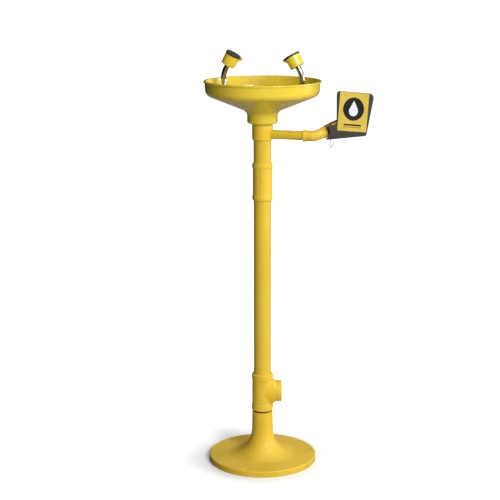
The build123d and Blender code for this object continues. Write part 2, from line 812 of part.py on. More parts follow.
save(floor_flange(), "floor_flange")
save(base_nipple(), "base_nipple")
save(waste_tee(), "waste_tee")
save(lower_pipe(), "stem_pipe_lower")
save(coupling(), "column_coupling")
save(upper_pipe(), "stem_pipe_upper")
save(supply_fitting(), "supply_fitting")
save(riser_tube(), "riser_tube")
save(bowl(), "bowl")
save(bowl_gasket(), "bowl_gasket")
save(bowl_locknut(), "bowl_locknut")
save(drain_strainer(), "drain_strainer")
save(yoke(), "yoke")
save(Compound(children=[mirror(yoke_nut(), Plane.YZ), yoke_nut()]), "yoke_nuts")

head_pieces = {
    "gooseneck": gooseneck(),
    "head_body": head_plane * head_body(),
    "spray_insert": head_plane * spray_insert(),
    "flow_screen": head_plane * flow_screen(),
    "dust_cover": head_plane * dust_cover(),
    "cover_pin": head_plane * cover_pin(),
}
for piece, shape in head_pieces.items():
    save(mirror(shape, Plane.YZ), piece + "_left")
    save(shape, piece + "_right")

save(supply_nipple(), "supply_nipple")
save(supply_elbow(), "supply_elbow")

valve_pieces = {
    "valve_nipple": valve_nipple(),
    "valve_body": valve_body(),
    "valve_end_piece": valve_end_piece(),
    "valve_seats": Compound(children=[valve_seat(-1), valve_seat(1)]),
    "valve_ball": valve_ball(),
    "valve_stem": valve_stem(),
    "gland_nut": gland_nut(),
}
for piece, shape in valve_pieces.items():
    save(valve_plane * shape, piece)

paddle_pieces = {
    "flag_handle": flag_handle(),
    "sign_plate": sign_plate(),
    "handle_screw": handle_screw(),
    "tag_hook": tag_hook(),
}
for piece, shape in paddle_pieces.items():
    save(paddle_plane * shape, piece)
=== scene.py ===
import json
import math
import bpy
import bmesh
from mathutils import Matrix, Vector

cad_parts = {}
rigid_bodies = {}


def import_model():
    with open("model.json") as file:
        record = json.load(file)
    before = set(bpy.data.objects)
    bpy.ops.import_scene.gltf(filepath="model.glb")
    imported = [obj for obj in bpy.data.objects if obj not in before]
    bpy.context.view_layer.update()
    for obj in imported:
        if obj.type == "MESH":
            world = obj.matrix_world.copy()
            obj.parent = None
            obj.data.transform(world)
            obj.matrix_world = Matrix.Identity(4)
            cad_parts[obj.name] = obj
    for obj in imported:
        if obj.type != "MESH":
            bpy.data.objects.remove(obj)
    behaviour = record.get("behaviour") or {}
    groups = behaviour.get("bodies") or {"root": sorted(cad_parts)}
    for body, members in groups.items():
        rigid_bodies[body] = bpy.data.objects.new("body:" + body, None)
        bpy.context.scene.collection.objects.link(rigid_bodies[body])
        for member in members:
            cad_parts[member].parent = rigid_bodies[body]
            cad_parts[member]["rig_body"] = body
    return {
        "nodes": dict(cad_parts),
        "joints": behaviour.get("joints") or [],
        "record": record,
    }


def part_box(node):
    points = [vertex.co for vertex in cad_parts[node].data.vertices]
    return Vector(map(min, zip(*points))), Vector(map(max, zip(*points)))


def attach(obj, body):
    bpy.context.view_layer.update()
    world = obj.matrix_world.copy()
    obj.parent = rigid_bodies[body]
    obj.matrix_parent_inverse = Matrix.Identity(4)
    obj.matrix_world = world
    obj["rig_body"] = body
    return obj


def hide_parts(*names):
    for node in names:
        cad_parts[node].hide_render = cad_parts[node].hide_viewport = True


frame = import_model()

# Pedestal eyewash station. Sizes are in metres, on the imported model's own frame:
# Z up the column, X along the supply arm, the user stands on the -Y side.
mm = 0.001
upright = Vector((0, 0, 1))
cadNodes = frame["nodes"]
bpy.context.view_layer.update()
mounts = {mount["name"]: mount for mount in frame["record"]["mounts"]}
joints = {joint["name"]: joint for joint in frame["joints"]}
print("frame loaded,", len(cadNodes), "nodes")


# shader helpers
def addNode(tree, kind, sockets=None, **settings):
    node = tree.nodes.new(kind)
    for name, value in settings.items():
        setattr(node, name, value)
    for name, value in (sockets or {}).items():
        feed(tree, value, node.inputs[name])
    return node


def feed(tree, value, socket):
    if isinstance(value, bpy.types.NodeSocket):
        tree.links.new(value, socket)
    else:
        socket.default_value = value


def maths(tree, operation, first, second=0.5, clamp=False):
    return addNode(tree, "ShaderNodeMath", {0: first, 1: second}, operation=operation, use_clamp=clamp).outputs[0]


def remap(tree, value, fromLow, fromHigh, toLow=0.0, toHigh=1.0):
    sockets = {"Value": value, "From Min": fromLow, "From Max": fromHigh, "To Min": toLow, "To Max": toHigh}
    return addNode(tree, "ShaderNodeMapRange", sockets).outputs[0]


def mixColour(tree, share, first, second, blend="MIX"):
    sockets = {0: share, 6: first, 7: second}
    return addNode(tree, "ShaderNodeMix", sockets, data_type="RGBA", blend_type=blend).outputs[2]


def noise(tree, vector, scale, detail=2.0, roughness=0.5):
    sockets = {"Vector": vector, "Scale": scale, "Detail": detail, "Roughness": roughness}
    return addNode(tree, "ShaderNodeTexNoise", sockets).outputs[0]


def newGroup(name, inputs, output):
    group = bpy.data.node_groups.new(name, "ShaderNodeTree")
    for label, start in inputs.items():
        kind = "NodeSocketVector" if label == "Vector" else "NodeSocketFloat"
        socket = group.interface.new_socket(name=label, in_out="INPUT", socket_type=kind)
        if start is not None:
            socket.default_value = start
    group.interface.new_socket(name=output, in_out="OUTPUT", socket_type="NodeSocketFloat")
    return group, group.nodes.new("NodeGroupInput").outputs, group.nodes.new("NodeGroupOutput").inputs[0]


def placeGroup(tree, group, sockets):
    node = addNode(tree, "ShaderNodeGroup", node_tree=group)
    for name, value in sockets.items():
        feed(tree, value, node.inputs[name])
    return node.outputs[0]


# effects that several finishes share
# slow drift of tone over a piece
unevenTone, given, result = newGroup("unevenTone", {"Vector": None, "Scale": 18.0}, "Mask")
broad = noise(unevenTone, given["Vector"], given["Scale"], 3.0, 0.55)
fine = noise(unevenTone, given["Vector"], maths(unevenTone, "MULTIPLY", given["Scale"], 6.0), 2.0)
both = maths(unevenTone, "ADD", maths(unevenTone, "MULTIPLY", broad, 0.7), maths(unevenTone, "MULTIPLY", fine, 0.3))
feed(unevenTone, remap(unevenTone, both, 0.32, 0.68), result)

# waves, grain and pits of a coated or cast surface, as a height
coatRelief, given, result = newGroup(
    "coatRelief",
    {"Vector": None, "Peel Scale": 300.0, "Peel": 1.0, "Grain Scale": 1500.0, "Grain": 0.3,
     "Pit Scale": 250.0, "Pits": 0.0},
    "Height",
)
peel = maths(coatRelief, "MULTIPLY", noise(coatRelief, given["Vector"], given["Peel Scale"], 1.0), given["Peel"])
grain = noise(coatRelief, given["Vector"], given["Grain Scale"], 3.0, 0.6)
grain = maths(coatRelief, "MULTIPLY", grain, given["Grain"])
cells = addNode(coatRelief, "ShaderNodeTexVoronoi", {"Vector": given["Vector"], "Scale": given["Pit Scale"]})
pit = maths(coatRelief, "MULTIPLY", remap(coatRelief, cells.outputs["Distance"], 0.0, 0.25, 1.0, 0.0), given["Pits"])
feed(coatRelief, maths(coatRelief, "SUBTRACT", maths(coatRelief, "ADD", peel, grain), pit), result)

# rubbed edges, broken up by noise
edgeRub, given, result = newGroup("edgeRub", {"Vector": None, "Width": 0.001, "Break Scale": 160.0}, "Mask")
rounded = addNode(edgeRub, "ShaderNodeBevel", {"Radius": given["Width"]}, samples=4)
flat = addNode(edgeRub, "ShaderNodeNewGeometry")
turnedAway = addNode(
    edgeRub, "ShaderNodeVectorMath", {0: rounded.outputs[0], 1: flat.outputs["Normal"]}, operation="DOT_PRODUCT"
)
bend = remap(edgeRub, turnedAway.outputs["Value"], 0.985, 0.86)
patches = remap(edgeRub, noise(edgeRub, given["Vector"], given["Break Scale"], 3.0, 0.6), 0.42, 0.62)
feed(edgeRub, maths(edgeRub, "MULTIPLY", bend, patches), result)

# dust that settles on faces that look up
settledDust, given, result = newGroup("settledDust", {"Vector": None, "Scale": 60.0}, "Mask")
surface = addNode(settledDust, "ShaderNodeNewGeometry")
facing = addNode(settledDust, "ShaderNodeSeparateXYZ", {0: surface.outputs["Normal"]})
upward = remap(settledDust, facing.outputs["Z"], 0.45, 1.0)
drift = remap(settledDust, noise(settledDust, given["Vector"], given["Scale"], 5.0, 0.65), 0.4, 0.75)
feed(settledDust, maths(settledDust, "MULTIPLY", upward, drift), result)

# small scattered specks, the share of cells that hold one is set
fineSpecks, given, result = newGroup("fineSpecks", {"Vector": None, "Scale": 140.0, "Share": 0.1}, "Mask")
cells = addNode(fineSpecks, "ShaderNodeTexVoronoi", {"Vector": given["Vector"], "Scale": given["Scale"]})
pick = addNode(fineSpecks, "ShaderNodeSeparateColor", {0: cells.outputs["Color"]})
chosen = maths(fineSpecks, "LESS_THAN", pick.outputs[0], given["Share"])
size = maths(fineSpecks, "MULTIPLY", pick.outputs[1], 0.16)
dot = maths(fineSpecks, "LESS_THAN", cells.outputs["Distance"], size)
feed(fineSpecks, maths(fineSpecks, "MULTIPLY", dot, chosen), result)

# long fine polishing lines
polishLines, given, result = newGroup("polishLines", {"Vector": None, "Scale": 900.0, "Stretch": 0.04}, "Mask")
squeeze = addNode(polishLines, "ShaderNodeCombineXYZ", {"X": 1.0, "Y": 1.0, "Z": given["Stretch"]})
along = addNode(
    polishLines, "ShaderNodeVectorMath", {0: given["Vector"], 1: squeeze.outputs[0]}, operation="MULTIPLY"
)
feed(polishLines, remap(polishLines, noise(polishLines, along.outputs[0], given["Scale"], 2.0), 0.35, 0.7), result)
print("shared effects built")


# finishes
def makeFinish(name, look):
    material = bpy.data.materials.new(name)
    material.use_nodes = True
    tree = material.node_tree
    tree.nodes.clear()
    place = addNode(tree, "ShaderNodeTexCoord").outputs["Object"]
    tone = placeGroup(tree, unevenTone, {"Vector": place, "Scale": look["toneScale"]})
    rub = placeGroup(tree, edgeRub, {"Vector": place, "Width": look["rubWidth"]})
    dust = placeGroup(tree, settledDust, {"Vector": place})
    specks = placeGroup(tree, fineSpecks, {"Vector": place, "Scale": look["speckScale"], "Share": look["speckShare"]})
    lines = placeGroup(tree, polishLines, {"Vector": place, "Scale": look["lineScale"]})
    height = placeGroup(tree, coatRelief, {"Vector": place, **look["relief"]})

    colour = mixColour(tree, tone, (*look["deep"], 1), (*look["light"], 1))
    colour = mixColour(tree, maths(tree, "MULTIPLY", rub, look["rub"]), colour, (*look["worn"], 1))
    colour = mixColour(tree, maths(tree, "MULTIPLY", dust, look["dust"]), colour, (0.62, 0.58, 0.5, 1))
    colour = mixColour(tree, maths(tree, "MULTIPLY", specks, 0.75), colour, (*look["speck"], 1))

    matte = maths(tree, "ADD", look["roughness"], maths(tree, "MULTIPLY", tone, look["roughDrift"]))
    matte = maths(tree, "ADD", matte, maths(tree, "MULTIPLY", lines, look["lines"]))
    matte = maths(tree, "ADD", matte, maths(tree, "MULTIPLY", dust, look["dust"] * 0.5), clamp=True)
    bump = addNode(tree, "ShaderNodeBump", {"Strength": 1.0, "Distance": look["reliefDepth"], "Height": height})
    shader = addNode(tree, "ShaderNodeBsdfPrincipled", {
        "Base Color": colour, "Roughness": matte, "Normal": bump.outputs[0], "Metallic": look["metallic"],
        "Coat Weight": look["coat"], "Coat Roughness": look["coatRoughness"], "Specular IOR Level": look["specular"],
    })
    feed(tree, shader.outputs[0], addNode(tree, "ShaderNodeOutputMaterial").inputs["Surface"])
    return material


plainLook = {
    "toneScale": 14.0, "rubWidth": 0.6 * mm, "rub": 0.4, "dust": 0.05, "speckScale": 120.0, "speckShare": 0.0,
    "speck": (0.05, 0.04, 0.03), "lineScale": 700.0, "lines": 0.0, "roughDrift": 0.06, "metallic": 0.0,
    "coat": 0.0, "coatRoughness": 0.1, "specular": 0.5, "reliefDepth": 0.02 * mm,
    "relief": {"Peel Scale": 260.0, "Peel": 1.0, "Grain Scale": 1400.0, "Grain": 0.2, "Pit Scale": 300.0,
               "Pits": 0.0},
}
smoothRelief = {"Peel Scale": 90.0, "Peel": 1.0, "Grain Scale": 900.0, "Grain": 0.12, "Pit Scale": 300.0, "Pits": 0.0}
castRelief = {"Peel Scale": 130.0, "Peel": 1.0, "Grain Scale": 620.0, "Grain": 0.55, "Pit Scale": 330.0, "Pits": 0.35}
metalRelief = {"Peel Scale": 160.0, "Peel": 0.6, "Grain Scale": 1800.0, "Grain": 0.4, "Pit Scale": 500.0, "Pits": 0.1}

pipeCoat = makeFinish("pipeCoat", {
    **plainLook, "deep": (0.63, 0.43, 0.024), "light": (0.70, 0.49, 0.032), "worn": (0.76, 0.58, 0.10),
    "roughness": 0.32, "coat": 0.4, "coatRoughness": 0.12, "reliefDepth": 0.05 * mm, "speckShare": 0.012,
    "relief": smoothRelief,
})
castCoat = makeFinish("castCoat", {
    **plainLook, "deep": (0.66, 0.43, 0.024), "light": (0.75, 0.51, 0.034), "worn": (0.79, 0.60, 0.10),
    "roughness": 0.58, "coat": 0.12, "coatRoughness": 0.22, "reliefDepth": 0.16 * mm, "speckShare": 0.03,
    "rubWidth": 1.2 * mm, "dust": 0.10, "relief": castRelief,
})
bowlPlastic = makeFinish("bowlPlastic", {
    **plainLook, "deep": (0.69, 0.51, 0.029), "light": (0.75, 0.575, 0.038), "worn": (0.80, 0.65, 0.13),
    "roughness": 0.24, "coat": 0.6, "coatRoughness": 0.07, "reliefDepth": 0.03 * mm, "dust": 0.08,
    "lineScale": 300.0, "lines": 0.02, "relief": smoothRelief,
})
chromePlate = makeFinish("chromePlate", {
    **plainLook, "deep": (0.40, 0.40, 0.42), "light": (0.52, 0.52, 0.54), "worn": (0.36, 0.34, 0.32),
    "roughness": 0.13, "roughDrift": 0.06, "metallic": 1.0, "lineScale": 1100.0, "lines": 0.06,
    "reliefDepth": 0.006 * mm, "speckShare": 0.02, "speck": (0.30, 0.29, 0.28), "relief": metalRelief,
})
coverPlastic = makeFinish("coverPlastic", {
    **plainLook, "deep": (0.016, 0.016, 0.018), "light": (0.035, 0.035, 0.038), "worn": (0.12, 0.12, 0.12),
    "roughness": 0.38, "roughDrift": 0.12, "reliefDepth": 0.03 * mm, "dust": 0.16, "relief": metalRelief,
})
paddleCoat = makeFinish("paddleCoat", {
    **plainLook, "deep": (0.030, 0.030, 0.027), "light": (0.046, 0.046, 0.041), "worn": (0.15, 0.15, 0.14),
    "roughness": 0.55, "roughDrift": 0.12, "specular": 0.14, "reliefDepth": 0.07 * mm, "dust": 0.06,
    "toneScale": 22.0, "rub": 0.7,
    "relief": {"Peel Scale": 420.0, "Peel": 0.6, "Grain Scale": 1100.0, "Grain": 0.9, "Pit Scale": 600.0,
               "Pits": 0.2},
})
signYellow = makeFinish("signYellow", {
    **plainLook, "deep": (0.47, 0.335, 0.033), "light": (0.53, 0.385, 0.043), "worn": (0.60, 0.54, 0.36),
    "roughness": 0.28, "reliefDepth": 0.012 * mm, "rub": 0.5, "lines": 0.08, "relief": smoothRelief,
})
signBlack = makeFinish("signBlack", {
    **plainLook, "deep": (0.008, 0.008, 0.009), "light": (0.018, 0.018, 0.018), "worn": (0.10, 0.09, 0.06),
    "roughness": 0.55, "specular": 0.08, "reliefDepth": 0.010 * mm, "rub": 0.3, "dust": 0.02, "relief": smoothRelief,
})
signWhite = makeFinish("signWhite", {
    **plainLook, "deep": (0.54, 0.54, 0.55), "light": (0.62, 0.62, 0.63), "worn": (0.45, 0.44, 0.41),
    "roughness": 0.34, "reliefDepth": 0.010 * mm, "rub": 0.3, "lines": 0.08, "relief": smoothRelief,
})
forgedBrass = makeFinish("forgedBrass", {
    **plainLook, "deep": (0.46, 0.29, 0.10), "light": (0.64, 0.44, 0.18), "worn": (0.80, 0.62, 0.32),
    "roughness": 0.30, "roughDrift": 0.18, "metallic": 1.0, "reliefDepth": 0.06 * mm, "speckShare": 0.05,
    "speck": (0.16, 0.10, 0.05), "lines": 0.08, "toneScale": 40.0, "relief": castRelief,
})
stainlessSteel = makeFinish("stainlessSteel", {
    **plainLook, "deep": (0.44, 0.44, 0.44), "light": (0.58, 0.58, 0.57), "worn": (0.72, 0.72, 0.72),
    "roughness": 0.22, "roughDrift": 0.10, "metallic": 1.0, "lineScale": 1500.0, "lines": 0.22,
    "reliefDepth": 0.010 * mm, "relief": metalRelief,
})
threadSteel = makeFinish("threadSteel", {
    **plainLook, "deep": (0.16, 0.15, 0.13), "light": (0.34, 0.33, 0.30), "worn": (0.60, 0.59, 0.56),
    "roughness": 0.36, "roughDrift": 0.25, "metallic": 1.0, "toneScale": 120.0, "reliefDepth": 0.03 * mm,
    "speckShare": 0.12, "speck": (0.10, 0.06, 0.04), "relief": castRelief,
})
# hook wire, painted shade: coloured far darker than bare steel so the thin wire reads dark against the white
shadedHookWire = makeFinish("shadedHookWire", {
    **plainLook, "deep": (0.035, 0.033, 0.033), "light": (0.075, 0.072, 0.072), "worn": (0.22, 0.21, 0.20),
    "roughness": 0.34, "roughDrift": 0.15, "metallic": 1.0, "toneScale": 160.0, "reliefDepth": 0.012 * mm,
    "lines": 0.12, "relief": metalRelief,
})
sealRubber = makeFinish("sealRubber", {
    **plainLook, "deep": (0.018, 0.018, 0.018), "light": (0.035, 0.034, 0.033), "worn": (0.07, 0.07, 0.07),
    "roughness": 0.62, "roughDrift": 0.15, "reliefDepth": 0.03 * mm, "dust": 0.2, "relief": metalRelief,
})
seatPlastic = makeFinish("seatPlastic", {
    **plainLook, "deep": (0.74, 0.74, 0.72), "light": (0.83, 0.83, 0.81), "worn": (0.70, 0.69, 0.66),
    "roughness": 0.42, "reliefDepth": 0.010 * mm, "relief": smoothRelief,
})
filterMesh = makeFinish("filterMesh", {
    **plainLook, "deep": (0.10, 0.10, 0.10), "light": (0.30, 0.30, 0.29), "worn": (0.4, 0.4, 0.4),
    "roughness": 0.7, "toneScale": 900.0, "reliefDepth": 0.25 * mm,
    "relief": {"Peel Scale": 700.0, "Peel": 0.3, "Grain Scale": 2200.0, "Grain": 0.4, "Pit Scale": 900.0,
               "Pits": 1.0},
})

nodeFinish = {
    "floor_flange": castCoat, "base_nipple": threadSteel, "waste_tee": castCoat, "stem_pipe_lower": pipeCoat,
    "column_coupling": castCoat, "stem_pipe_upper": pipeCoat, "supply_fitting": castCoat, "riser_tube": chromePlate,
    "bowl": bowlPlastic, "bowl_gasket": sealRubber, "bowl_locknut": forgedBrass, "drain_strainer": stainlessSteel,
    "yoke": chromePlate, "yoke_nuts": chromePlate, "gooseneck": chromePlate, "head_body": bowlPlastic,
    "spray_insert": stainlessSteel, "flow_screen": filterMesh, "dust_cover": coverPlastic,
    "cover_pin": stainlessSteel, "supply_nipple": pipeCoat, "supply_elbow": castCoat, "valve_nipple": threadSteel,
    "valve_body": forgedBrass, "valve_end_piece": forgedBrass, "valve_seats": seatPlastic,
    "valve_ball": chromePlate, "valve_stem": forgedBrass, "gland_nut": forgedBrass, "flag_handle": paddleCoat,
    "sign_plate": signYellow, "handle_screw": stainlessSteel, "tag_hook": shadedHookWire,
}


def finishOf(node):
    for side in ("_left", "_right"):
        node = node.removesuffix(side)
    return nodeFinish[node]


for node, shown in cadNodes.items():
    shown.data.materials.clear()
    shown.data.materials.append(finishOf(node))
print("finishes made and given to the CAD nodes")


# modelling helpers
def makePiece(bm, name, node, finish=None, sharpAngle=35):
    mesh = bpy.data.meshes.new(name)
    bm.to_mesh(mesh)
    bm.free()
    piece = bpy.data.objects.new(name, mesh)
    bpy.context.scene.collection.objects.link(piece)
    mesh.materials.append(finish or finishOf(node))
    mesh.shade_smooth()
    mesh.set_sharp_from_angle(angle=math.radians(sharpAngle))
    return piece


def standFor(piece, *nodes):
    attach(piece, cadNodes[nodes[0]]["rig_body"])
    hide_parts(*nodes)


def settle(piece, sharpAngle=35):
    graph = bpy.context.evaluated_depsgraph_get()
    mesh = bpy.data.meshes.new_from_object(piece.evaluated_get(graph))
    piece.modifiers.clear()
    piece.data = mesh
    mesh.shade_smooth()
    mesh.set_sharp_from_angle(angle=math.radians(sharpAngle))


def combine(piece, tool, operation):
    change = piece.modifiers.new("change", "BOOLEAN")
    change.object = tool
    change.operation = operation
    change.solver = "EXACT"
    settle(piece)
    bpy.data.objects.remove(tool)


def placing(origin, along, across=upright):
    # matrix that takes local Z to along, and local X towards across
    along = Vector(along).normalized()
    side = (Vector(across) - along * Vector(across).dot(along)).normalized()
    turn = Matrix((side, along.cross(side), along)).transposed().to_4x4()
    return Matrix.Translation(origin) @ turn


def addTurned(bm, corners, steps=96, place=None, roundSteps=5):
    # corners are (radius, height, rounding) round a closed outline, spun about local Z
    known = set(bm.verts)
    outline = [bm.verts.new((radius, 0, height)) for radius, height, _ in corners]
    for first, second in zip(outline, outline[1:] + outline[:1]):
        bm.edges.new((first, second))
    for vert, (_, _, rounding) in zip(outline, corners):
        if rounding:
            before, after = (edge.other_vert(vert).co - vert.co for edge in vert.link_edges)
            slide = rounding / math.tan(before.angle(after) / 2)
            bmesh.ops.bevel(bm, geom=[vert], offset=slide, offset_type="OFFSET", segments=roundSteps,
                            profile=0.5, affect="VERTICES", material=-1)
    verts = [vert for vert in bm.verts if vert not in known]
    edges = list({edge for vert in verts for edge in vert.link_edges})
    bmesh.ops.spin(bm, geom=verts + edges, cent=(0, 0, 0), axis=(0, 0, 1), angle=math.tau, steps=steps,
                   use_merge=True)
    bmesh.ops.remove_doubles(bm, verts=[vert for vert in bm.verts if vert not in known], dist=1e-6)
    verts = [vert for vert in bm.verts if vert not in known]
    bmesh.ops.recalc_face_normals(bm, faces=list({face for vert in verts for face in vert.link_faces}))
    if place:
        bmesh.ops.transform(bm, matrix=place, verts=verts)


def turnedPiece(name, node, corners, finish=None, **settings):
    bm = bmesh.new()
    addTurned(bm, corners, **settings)
    return makePiece(bm, name, node, finish)


def addFlat(bm, corners, thickness, place, edgeBevel=0.0):
    # corners are (x, y, rounding) of a flat outline, extruded up local Z
    known = set(bm.verts)
    outline = [bm.verts.new((x, y, 0)) for x, y, _ in corners]
    bm.faces.new(outline)
    for vert, (_, _, rounding) in zip(outline, corners):
        if rounding:
            before, after = (edge.other_vert(vert).co - vert.co for edge in vert.link_edges)
            slide = rounding / math.tan(before.angle(after) / 2)
            bmesh.ops.bevel(bm, geom=[vert], offset=slide, offset_type="OFFSET", segments=6, profile=0.5,
                            affect="VERTICES", material=-1)
    face = next(face for face in bm.faces if all(vert not in known for vert in face.verts))
    lifted = bmesh.ops.extrude_face_region(bm, geom=[face], use_keep_orig=True)["geom"]
    bmesh.ops.translate(bm, vec=(0, 0, thickness), verts=[v for v in lifted if isinstance(v, bmesh.types.BMVert)])
    verts = [vert for vert in bm.verts if vert not in known]
    faces = list({face for vert in verts for face in vert.link_faces})
    bmesh.ops.recalc_face_normals(bm, faces=faces)
    if edgeBevel:
        rims = [edge for edge in {edge for face in faces for edge in face.edges} if edge.calc_face_angle(0) > 1.2]
        bmesh.ops.bevel(bm, geom=rims, offset=edgeBevel, offset_type="OFFSET", segments=2, profile=0.5,
                        affect="EDGES", material=-1)
        verts = [vert for vert in bm.verts if vert not in known]
    bmesh.ops.transform(bm, matrix=place, verts=verts)


def addThread(bm, thread, place, inward=False):
    # one V of the thread is wound up local Z, then trimmed to its ends
    known = set(bm.verts)
    crest, root, pitch, steps = thread["crest"], thread["root"], thread["pitch"], 48
    turns = math.ceil((thread["high"] - thread["low"]) / pitch) + 2
    start = thread["low"] - pitch
    outline = [bm.verts.new((radius, 0, start + pitch * share))
               for radius, share in ((root, 0), (root, 0.12), (crest, 0.44), (crest, 0.56), (root, 0.88), (root, 1))]
    edges = [bm.edges.new(pair) for pair in zip(outline, outline[1:])]
    bmesh.ops.spin(bm, geom=outline + edges, cent=(0, 0, 0), axis=(0, 0, 1), angle=math.tau * turns,
                   dvec=(0, 0, pitch / steps), steps=steps * turns, use_merge=False)
    verts = [vert for vert in bm.verts if vert not in known]
    bmesh.ops.remove_doubles(bm, verts=verts, dist=1e-6)
    for height, way in ((thread["low"], -1), (thread["high"], 1)):
        verts = [vert for vert in bm.verts if vert not in known]
        geom = verts + list({edge for vert in verts for edge in vert.link_edges})
        geom += list({face for vert in verts for face in vert.link_faces})
        bmesh.ops.bisect_plane(bm, geom=geom, plane_co=(0, 0, height), plane_no=(0, 0, way), clear_outer=True)
    verts = [vert for vert in bm.verts if vert not in known]
    faces = list({face for vert in verts for face in vert.link_faces})
    bmesh.ops.recalc_face_normals(bm, faces=faces)
    probe = faces[len(faces) // 2]
    outwards = probe.normal.dot(Vector((*probe.calc_center_median().xy, 0))) > 0
    if outwards == inward:
        bmesh.ops.reverse_faces(bm, faces=faces)
    bmesh.ops.transform(bm, matrix=place, verts=verts)


def hexPiece(name, node, nut, places, finish=None):
    # hexagon with its corners turned off at both ends, and a bore
    bm, lens, bore = bmesh.new(), bmesh.new(), bmesh.new()
    half, low, high = nut["across"] / 2, nut["low"], nut["high"]
    corner = half / math.cos(math.radians(30))
    drop = (corner - half) * 0.6
    for place in places:
        middle = place @ Matrix.Translation((0, 0, (low + high) / 2))
        bmesh.ops.create_cone(bm, cap_ends=True, segments=6, radius1=corner, radius2=corner, depth=high - low,
                              matrix=middle)
        addTurned(lens, [(0, low, 0), (half * 0.98, low, 0), (corner * 1.01, low + drop, 0),
                         (corner * 1.01, high - drop, 0), (half * 0.98, high, 0), (0, high, 0)], place=place)
        addTurned(bore, [(0, low - mm, 0), (nut["bore"], low - mm, 0), (nut["bore"], high + mm, 0),
                         (0, high + mm, 0)], steps=64, place=place)
    piece = makePiece(bm, name, node, finish)
    combine(piece, makePiece(lens, "lens", node), "INTERSECT")
    combine(piece, makePiece(bore, "bore", node), "DIFFERENCE")
    return piece


# floor flange
flangeLook = {
    "plateRadius": 132 * mm, "plateThickness": 15 * mm, "edgeRound": 3 * mm, "trumpetRound": 61 * mm,
    "neckFoot": 27 * mm, "neckTop": 25.2 * mm, "threadRadius": 20.7 * mm, "socketDepth": 20 * mm,
    "holeChamfer": 0.4 * mm, "firstHole": 30,
}


def buildFloorFlange(look):
    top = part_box("floor_flange")[1].z
    piece = turnedPiece("floorFlange", "floor_flange", [
        (0, 0, 0), (look["plateRadius"], 0, 1 * mm), (look["plateRadius"], look["plateThickness"], look["edgeRound"]),
        (look["neckFoot"], look["plateThickness"], look["trumpetRound"]), (look["neckTop"], top, 1.2 * mm),
        (look["threadRadius"], top, 0.6 * mm), (look["threadRadius"], top - look["socketDepth"], 0),
        (0, top - look["socketDepth"], 0),
    ], steps=160, roundSteps=20)
    bolts = mounts["floor_bolts"]["dims"]
    bm = bmesh.new()
    for count in range(bolts["count"]):
        turn = math.radians(look["firstHole"] + 360 * count / bolts["count"])
        spot = Vector((math.cos(turn), math.sin(turn), 0)) * bolts["pcd_mm"] / 2 * mm
        hole, thick = bolts["hole_r_mm"] * mm, look["plateThickness"]
        addTurned(bm, [(0, -mm, 0), (hole, -mm, 0), (hole, thick - look["holeChamfer"], 0),
                       (hole + 2 * look["holeChamfer"], thick + look["holeChamfer"], 0),
                       (0, thick + look["holeChamfer"], 0)], steps=48, place=Matrix.Translation(spot))
    combine(piece, makePiece(bm, "holes", "floor_flange"), "DIFFERENCE")
    standFor(piece, "floor_flange")


buildFloorFlange(flangeLook)


# base nipple, with its thread showing between flange and tee
nippleLook = {"crest": 20.6 * mm, "root": 19.9 * mm, "bore": 17.5 * mm, "pitch": 2.2 * mm}


def buildBaseNipple(look):
    low, high = (corner.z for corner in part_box("base_nipple"))
    bm = bmesh.new()
    addTurned(bm, [(look["bore"], low, 0.5 * mm), (look["root"] - 0.1 * mm, low, 0.5 * mm),
                   (look["root"] - 0.1 * mm, high, 0.5 * mm), (look["bore"], high, 0.5 * mm)])
    addThread(bm, {**look, "low": low, "high": high}, Matrix())
    standFor(makePiece(bm, "baseNipple", "base_nipple"), "base_nipple")


buildBaseNipple(nippleLook)


# waste tee, a casting: its parts are joined, then skinned and softened as one
teeLook = {
    "bodyRadius": 25.4 * mm, "bandRadius": 26.4 * mm, "bandHeight": 15 * mm, "boreRadius": 17.5 * mm,
    "threadRadius": 20.7 * mm, "threadDepth": 20 * mm, "branchReach": 47.5 * mm, "branchBand": 12.5 * mm,
    "web": 11 * mm, "voxel": 0.9 * mm, "softening": 14,
}


